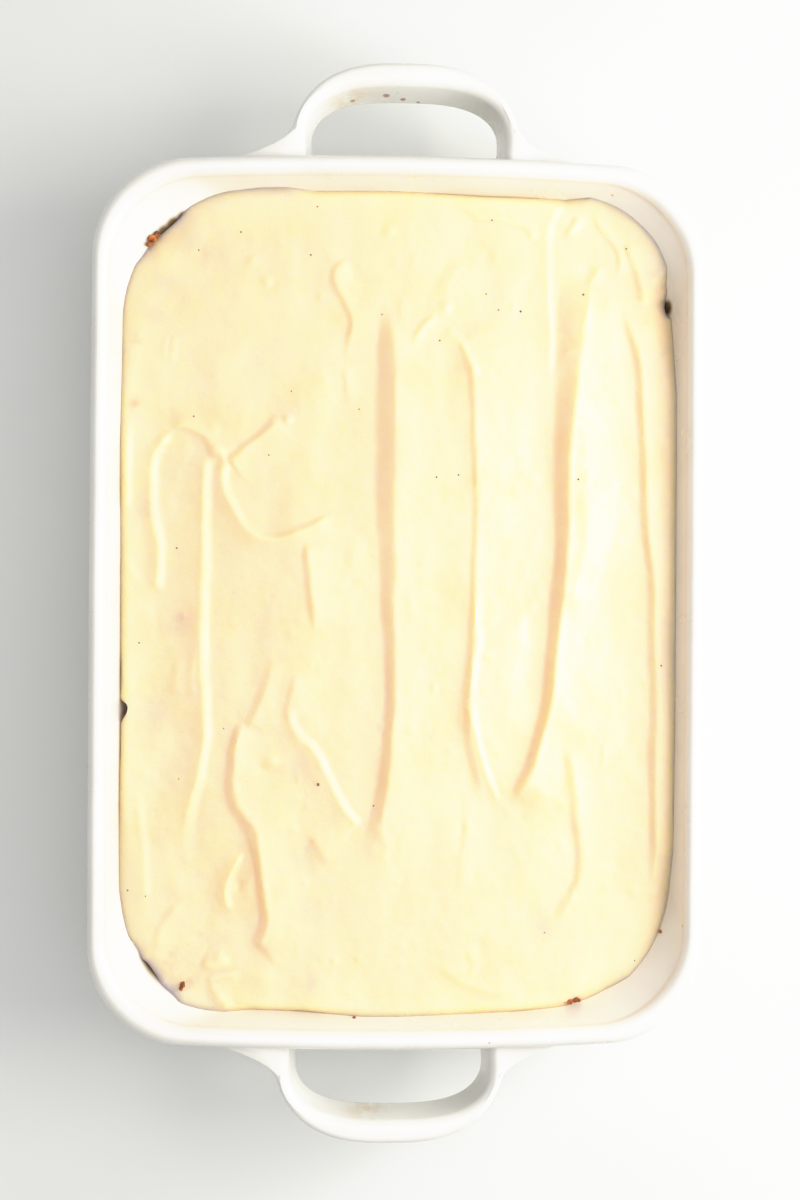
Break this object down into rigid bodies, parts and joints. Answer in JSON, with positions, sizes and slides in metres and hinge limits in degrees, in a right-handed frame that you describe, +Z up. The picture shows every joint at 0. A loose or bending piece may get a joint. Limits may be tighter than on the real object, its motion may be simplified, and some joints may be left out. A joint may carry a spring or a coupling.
{
  "type": "moussaka in a baking dish",
  "caption": "Unbaked moussaka in a rectangular stoneware baking dish with two loop handles: meat sauce, aubergine slices and white sauce spread with a spoon.",
  "frame": {"origin": "on the table, under the middle of the dish", "axes": "+Z up, +Y along the dish towards one handle, +X across it, so that the picture's top is +Y and its right is +X"},
  "size_m": [0.2462, 0.4356, 0.065],
  "materials": {
    "stoneware": "clear glaze over white stoneware",
    "meat_sauce": "cooked mince in tomato, moist and oily",
    "aubergine": "fried slices with dark skin, moist",
    "white_sauce": "thick pale yellow sauce, satin"
  },
  "bodies": {
    "root": {"dish": "stoneware", "meat_sauce": "meat_sauce", "aubergine": "aubergine", "bechamel": "white_sauce"}
  },
  "joints": []
}
